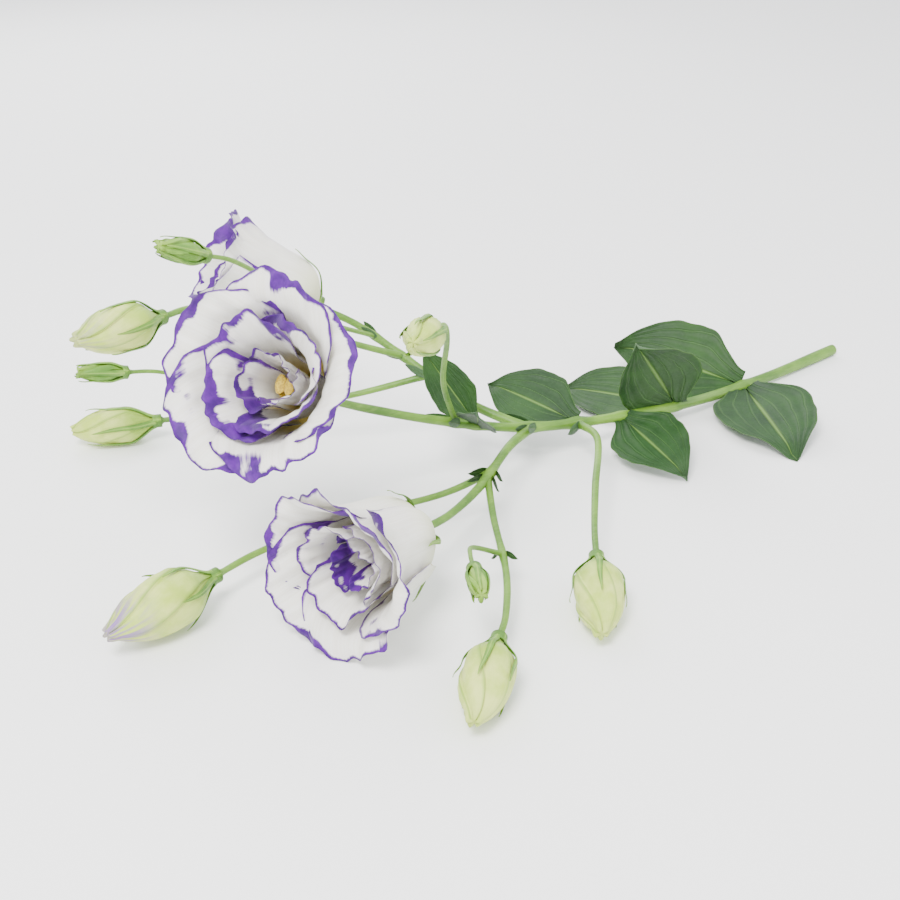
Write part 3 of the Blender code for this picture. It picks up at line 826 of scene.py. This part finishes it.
class Tree:
    """A Geometry Nodes tree with named inputs. It ends in real geometry with a material."""

    def __init__(self, name, **inputs):
        self.tree = bpy.data.node_groups.new(name, "GeometryNodeTree")
        for key, kind in {"Geometry": "Geometry", **inputs, "Material": "Material"}.items():
            self.tree.interface.new_socket(key, in_out="INPUT", socket_type=f"NodeSocket{kind}")
        self.tree.interface.new_socket("Geometry", in_out="OUTPUT", socket_type="NodeSocketGeometry")
        self.given = self.tree.nodes.new("NodeGroupInput").outputs

    def node(self, kind, settings=None, inputs=None):
        return add_node(self.tree, kind, settings, inputs)

    def close(self, geometry):
        real = self.node("GeometryNodeRealizeInstances", inputs={0: geometry})[0]
        painted = self.node("GeometryNodeSetMaterial",
                            inputs={"Geometry": real, "Material": self.given["Material"]})[0]
        self.node("NodeGroupOutput", inputs={0: painted})
        return self.tree


def ring_of_copies_tree():
    """Copies of the object's own mesh, turned round Z in even steps, each a little off."""
    t = Tree("ring_of_copies", Count="Int", Radius="Float", Seed="Int")
    circle = t.node("GeometryNodeMeshCircle",
                    inputs={"Vertices": t.given["Count"], "Radius": t.given["Radius"]})["Mesh"]
    step = t.node("ShaderNodeMath", {"operation": "DIVIDE"}, {0: tau, 1: t.given["Count"]})[0]
    index = t.node("GeometryNodeInputIndex")[0]
    even = t.node("ShaderNodeMath", {"operation": "MULTIPLY"}, {0: index, 1: step})[0]
    wobble = t.node("FunctionNodeRandomValue", {"data_type": "FLOAT"},
                    {"Min": -0.25, "Max": 0.25, "Seed": t.given["Seed"]})["Value"]
    turn = t.node("ShaderNodeMath", {"operation": "ADD"}, {0: even, 1: wobble})[0]
    rotation = t.node("ShaderNodeCombineXYZ", inputs={"Z": turn})[0]
    return t.close(t.node("GeometryNodeInstanceOnPoints", inputs={
        "Points": circle, "Instance": t.given["Geometry"], "Rotation": rotation})[0])


def stalk_tree():
    """A tube along each spline, as thick as the spline's radius."""
    t = Tree("stalk_tubes", Sides="Int")
    circle = t.node("GeometryNodeCurvePrimitiveCircle",
                    inputs={"Resolution": t.given["Sides"], "Radius": 1.0})["Curve"]
    radius = t.node("GeometryNodeInputRadius")[0]
    return t.close(t.node("GeometryNodeCurveToMesh", inputs={
        "Curve": t.given["Geometry"], "Profile Curve": circle, "Scale": radius, "Fill Caps": True})[0])


def made_real(obj, tree, values):
    """The mesh that a Geometry Nodes tree makes of an object. The object and its modifier are removed."""
    modifier = obj.modifiers.new(tree.name, "NODES")
    modifier.node_group = tree
    for item in tree.interface.items_tree:
        if item.in_out == "INPUT" and item.name in values:
            modifier[item.identifier] = values[item.name]
    graph = bpy.context.evaluated_depsgraph_get()
    graph.update()
    mesh = bpy.data.meshes.new_from_object(obj.evaluated_get(graph))
    obj.modifiers.remove(modifier)
    bpy.data.objects.remove(obj)
    return mesh


def stamen_surface():
    """One curved filament with a ribbed two-part anther, standing at the middle of its ring."""
    surface = Surface()
    t = np.linspace(0, 1, 18)
    line = np.stack((1.0 + 2.6 * t**1.4, 0 * t, 0.4 + 13.0 * t), -1)
    surface.tube(line, 0.30 - 0.1 * t, 8, {"tone": 0.25})
    for side in (-0.42, 0.42):
        t = np.linspace(0, 1, 16)
        body = np.stack((3.5 + 0.9 * t, side + 0 * t, 12.6 + 5.6 * t), -1)
        surface.tube(body, 0.15 + 0.62 * np.sin(pi * (0.06 + 0.88 * t)) ** 0.7, 10, {"tone": 1.0})
    return surface


def pistil_surface():
    """Ovary, style and a stigma of two broad, velvety lobes."""
    surface = Surface()
    height = np.array((0, 1.5, 3, 6, 9, 11, 13, 17, 20, 21.5))
    radius = np.array((1.2, 1.5, 1.6, 1.55, 1.3, 0.95, 0.7, 0.6, 0.62, 0.9))
    fine = np.linspace(0, 21.5, 40)
    line = np.stack((0 * fine, 0 * fine, fine), -1)
    surface.tube(line, np.interp(fine, height, radius), 20, {"tone": 0.0})
    for side in (-1, 1):
        v, t, uvs = grid_uv(14, 16)
        spread = 3.4 * np.sin(pi * np.clip(0.10 + 0.82 * t, 0, 1)) ** 0.8
        x = side * (0.2 + 3.6 * t - 0.5 * t**2)
        z = 21.0 + 3.2 * t - 2.6 * t**2 - 0.5 * v**2
        lobe = np.stack((x, v * spread, z + 0.15 * np.sin(9 * v) * t), -1)
        surface.sheet(lobe, 1.1, uvs, {"tone": 0.85})
    return surface


class LISIANTHUS_OT_centres(bpy.types.Operator):
    """Builds the pistil and the ring of stamens in each open flower"""
    bl_idname = "lisianthus.centres"
    bl_label = "Flower centres"

    def execute(self, context):
        material = centre_finish()
        tree = ring_of_copies_tree()
        for flower in ("flower_1", "flower_2"):
            stand = Stand(FLOWERS[flower][0])
            piece = pistil_surface().draft(f"look_{flower}_centre", material)
            stamen = stamen_surface().draft("stamen", material)
            stamens = linked("stamens", made_real(stamen, tree, {
                "Count": STAMENS, "Radius": STAMEN_RING, "Material": material, "Seed": 3}))
            with bpy.context.temp_override(active_object=piece, object=piece,
                                           selected_editable_objects=[piece, stamens]):
                bpy.ops.object.join()
            turn = Matrix(stand.turn.tolist()).transposed().to_4x4()
            piece.data.transform(Matrix.Translation(Vector(stand.place) * MM) @ turn)
            settle(piece, [f"{flower}_centre"])
        return {"FINISHED"}


# ---- stem ----

NODE_REACH, FOOT_REACH, DISC_REACH = 3.2, 4.5, 7.0    # how far along a stalk these swellings reach


def stalk_points(name, node_swell):
    """Points and radii along a stalk: thicker at its nodes, and a disc at its end."""
    route = route_of(name)
    span = sum(np.linalg.norm(np.subtract(b, a)) for a, b in zip(route, route[1:]))
    leaving = [share for parent, share, _, _ in STALKS.values() if parent == name]
    if name == "main":
        leaving += sorted({share for share, *_ in LEAVES.values()})
    disc = DISC_RADIUS if name in {stalk for stalk, _ in FLOWERS.values()} else BUD_DISC_RADIUS
    steps = max(40, int(span / 1.1))
    points, radii = [], []
    for k in range(steps + 1):
        t = k / steps
        to_end = (1 - t) * span
        radius = radius_of(name, t)
        bump = sum(np.exp(-((t - share) * span / NODE_REACH) ** 2) for share in leaving)
        if STALKS[name][0]:
            bump += 0.9 * np.exp(-(t * span / FOOT_REACH) ** 2)
        radius *= 1 + node_swell * bump + 0.03 * np.sin(t * span / 7.0)
        radius += (disc * 0.97 - radius) * smooth(1 - (to_end - SEAT) / DISC_REACH) ** 2.2
        points.append(through(route, t) + TO_ORIGIN)
        radii.append(radius)
    points[-1] = points[-1] - heading(route, 1) * (SEAT + HALF_PETAL)
    return points, radii


class LISIANTHUS_OT_stem(bpy.types.Operator):
    """Builds the stem with its branches and flower stalks"""
    bl_idname = "lisianthus.stem"
    bl_label = "Stem"

    def execute(self, context):
        settings = context.scene.lisianthus_stem
        curve = bpy.data.curves.new("stalk_routes", "CURVE")
        curve.dimensions = "3D"
        for name in STALKS:
            points, radii = stalk_points(name, settings.node_swell)
            spline = curve.splines.new("POLY")
            spline.points.add(len(points) - 1)
            for target, point, radius in zip(spline.points, points, radii):
                target.co = (*(float(c) * MM for c in point), 1.0)
                target.radius = float(radius) * MM
        _, cad_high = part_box("stem")
        material = stem_finish(cad_high.x)
        mesh = made_real(linked("stalk_routes", curve), stalk_tree(),
                         {"Sides": settings.sides, "Material": material})
        if min(vertex.co.z for vertex in mesh.vertices) < 0:
            for vertex in mesh.vertices:
                vertex.co.z = max(vertex.co.z, 0.0001)
        mesh.shade_smooth()
        mesh.set_sharp_from_angle(angle=radians(50))
        settle(linked("look_stem", mesh), ["stem"])
        return {"FINISHED"}


# ---- leaves and bracts ----

# Shares of a leaf's half width: how deep it is folded, its midrib lies, its sides wave and it twists.
TROUGH, MIDRIB, SIDE_WAVE, TWIST, TIP_CURL = 0.20, 0.055, 0.05, 0.10, 0.16
BRACT, SMALL_BRACT, BRACT_BELOW = 15, 10, 1.5    # lengths, and how far below its fork a bract stands


def leaf_width(t, foot):
    low = foot + (1 - foot) * smooth(t / LEAF_BELLY) ** 1.1
    tip = np.cos(pi / 2 * np.clip((t - LEAF_BELLY) / (1 - LEAF_BELLY), 0, 1) ** 1.35)
    return np.where(t < LEAF_BELLY, low, 0.012 + 0.988 * tip)


def add_blade(surface, foot, way, face, length, half_width, curl, tone, random, foot_share, fineness):
    """A stalkless leaf: clasping foot, arched blade with a sunk midrib, wavy sides and a turned tip."""
    way = unit(np.array(way, float))
    face = np.array(face, float)
    face = unit(face - face.dot(way) * way)
    side = np.cross(way, face)
    u, t, uvs = grid_uv(max(8, fineness), max(12, int(fineness * 1.4)))
    lift = TROUGH * abs(u) ** 1.3 * smooth(t / 0.3) * (1 - 0.45 * t)
    lift = lift + 0.42 * (1 - smooth(t / 0.22)) * abs(u) ** 2 * foot_share
    lift = lift - MIDRIB * np.exp(-((u / 0.07) ** 2)) * (1 - 0.6 * t)
    wave = waves(t * 2.2 + 0.3 * np.sign(u), random, (1.0, 2.1, 3.7), 0.7)
    lift = lift + SIDE_WAVE * wave * abs(u) ** 2
    lift = lift + TWIST * random.uniform(-1, 1) * u * t
    lift = lift - TIP_CURL * smooth((t - 0.78) / 0.22) ** 2 * random.uniform(0.2, 1.4)
    quilt = np.sin((abs(u) * (VEIN_SLANT + VEIN_FAN * t) - t * VEIN_RISE) * VEINS)
    lift = half_width * (lift + 0.010 * quilt * smooth(abs(u) / 0.15)) - curl * t**2
    bend = length * 0.06 * random.uniform(-1, 1) * t**2
    edge = 1 + 0.02 * waves(t * 3, random, (1.9, 4.3))
    across = half_width * leaf_width(t, foot_share) * u * edge + bend
    across = across * (1 - 0.06 * abs(lift) / half_width)
    points = foot + way * (length * t)[..., None] + side * across[..., None] + face * lift[..., None]
    thick = 0.45 * (1 - 0.5 * abs(u) ** 4) + 0.9 * np.exp(-((u / 0.06) ** 2)) * (1 - 0.8 * t)
    surface.sheet(lifted(points, 0.45), thick * min(1.0, half_width / 12), uvs, {"tone": tone})


class LISIANTHUS_OT_leaves(bpy.types.Operator):
    """Builds the pairs of leaves and the small bracts at the forks"""
    bl_idname = "lisianthus.leaves"
    bl_label = "Leaves"

    def execute(self, context):
        material = leaf_finish()
        route = route_of("main")
        for name, (share, way, face, length, half_width, curl) in LEAVES.items():
            random = Random(name)
            along = heading(route, share)
            straight = unit(np.array(way, float))
            out = unit(straight - straight.dot(along) * along)
            foot = through(route, share) + out * (radius_of("main", share) * 0.55) + TO_ORIGIN
            surface = Surface()
            tone = 0.15 + 0.75 * random.random()
            add_blade(surface, foot, way, face, length, half_width, curl, tone, random, 0.30, 44)
            surface.finish(f"look_{name}", [name], "leaf_green", material)
        self.bracts(material)
        return {"FINISHED"}

    def bracts(self, material):
        """A pair of small narrow leaves under each fork of the branches."""
        surface = Surface()
        forks = sorted({(parent, share) for parent, share, _, _ in STALKS.values() if parent})
        for number, (parent, share) in enumerate(forks):
            random = Random(f"fork{number}")
            route = route_of(parent)
            along = heading(route, share)
            first = unit(np.cross(along, (0.2, 0.1, 1.0)))
            size = BRACT if parent == "main" else SMALL_BRACT
            for out in (-first, first):
                foot = through(route, share) + TO_ORIGIN + out * radius_of(parent, share) * 0.8
                foot = foot - along * BRACT_BELOW
                way = (along * random.uniform(0.75, 1.1) + out * random.uniform(0.5, 0.9)
                       + np.array((0, 0, random.uniform(-0.1, 0.4))))
                length = size * random.uniform(0.8, 1.25)
                add_blade(surface, foot, way, -out + along * 0.4, length, length * 0.15, -length * 0.08,
                          0.9, random, 0.55, 14)
        surface.finish("look_bracts", [], "leaf_green", material)


# ---- stage ----

FLOOR_HALF = 6.0
# A light: its place, diameter, power and colour.
LIGHTS = {
    "key": ((-0.55, -0.35, 0.95), 0.45, 20.0, (1.0, 0.985, 0.96)),
    "fill": ((0.75, -0.85, 0.55), 0.9, 5.0, (1.0, 1.0, 1.0)),
    "back": ((0.15, 0.95, 0.60), 0.7, 7.0, (1.0, 1.0, 1.0)),
}


def looking(place, target):
    return Matrix.Translation(place) @ (target - place).to_track_quat("-Z", "Y").to_matrix().to_4x4()


class LISIANTHUS_OT_stage(bpy.types.Operator):
    """Builds the pale floor, the soft lights and the camera"""
    bl_idname = "lisianthus.stage"
    bl_label = "Stage"

    def execute(self, context):
        settings = context.scene.lisianthus_stage
        scene = context.scene
        low, high = (Vector(corner) for corner in CAD_BOX)
        middle = (low + high) / 2
        target = Vector((middle.x - 0.033, middle.y + 0.013, low.z + 0.014))
        f = Finish("pale_floor")
        shade = f.mix(f.noise(f.place(), 9.0, 3.0), (0.93, 0.93, 0.935), (0.95, 0.95, 0.95))
        mesh = bpy.data.meshes.new("floor")
        corners = [(-1, -1), (1, -1), (1, 1), (-1, 1)]
        mesh.from_pydata([(x * FLOOR_HALF, y * FLOOR_HALF, 0) for x, y in corners], [], [(0, 1, 2, 3)])
        mesh.materials.append(f.close(shade, Roughness=0.6, Specular_IOR_Level=0.25))
        linked("floor", mesh)
        scene.world = bpy.data.worlds.new("studio")
        scene.world.use_nodes = True
        background = scene.world.node_tree.nodes["Background"]
        background.inputs["Color"].default_value = (0.97, 0.98, 1.0, 1.0)
        background.inputs["Strength"].default_value = 1.9
        for name, (place, size, energy, colour) in LIGHTS.items():
            light = bpy.data.lights.new(name, "AREA")
            light.shape, light.size, light.energy, light.color = "DISK", size, energy, colour
            linked(name, light).matrix_world = looking(Vector(place), target)
        back = Vector((sin(settings.azimuth) * cos(settings.elevation),
                       -cos(settings.azimuth) * cos(settings.elevation), sin(settings.elevation)))
        camera = bpy.data.cameras.new("camera")
        camera.lens = settings.lens
        camera.clip_start, camera.clip_end = 0.01, 50.0
        holder = linked("camera", camera)
        holder.matrix_world = looking(target + back * settings.distance, target)
        scene.camera = holder
        return {"FINISHED"}


class LISIANTHUS_PT_panel(bpy.types.Panel):
    """Lists the settings and the steps that build the stem"""
    bl_label = "Lisianthus"
    bl_space_type = "VIEW_3D"
    bl_region_type = "UI"
    bl_category = "Lisianthus"

    def draw(self, context):
        layout = self.layout
        for name, group in SETTINGS.items():
            box = layout.box()
            for prop in group.__annotations__:
                box.prop(getattr(context.scene, name), prop)
        for operator in STEPS:
            layout.operator(operator.bl_idname)


SETTINGS = {"lisianthus_petals": PetalSettings, "lisianthus_stem": StemSettings,
            "lisianthus_stage": StageSettings}
STEPS = (LISIANTHUS_OT_stem, LISIANTHUS_OT_leaves, LISIANTHUS_OT_petals, LISIANTHUS_OT_calyces,
         LISIANTHUS_OT_buds, LISIANTHUS_OT_centres, LISIANTHUS_OT_stage)
CLASSES = (*SETTINGS.values(), *STEPS, LISIANTHUS_PT_panel)


def register():
    for cls in CLASSES:
        bpy.utils.register_class(cls)
    for name, group in SETTINGS.items():
        setattr(bpy.types.Scene, name, bpy.props.PointerProperty(type=group))


def unregister():
    for name in SETTINGS:
        delattr(bpy.types.Scene, name)
    for cls in reversed(CLASSES):
        bpy.utils.unregister_class(cls)


def main():
    register()
    for step in STEPS:
        group, action = step.bl_idname.split(".")
        getattr(getattr(bpy.ops, group), action)()


if __name__ == "__main__":
    main()
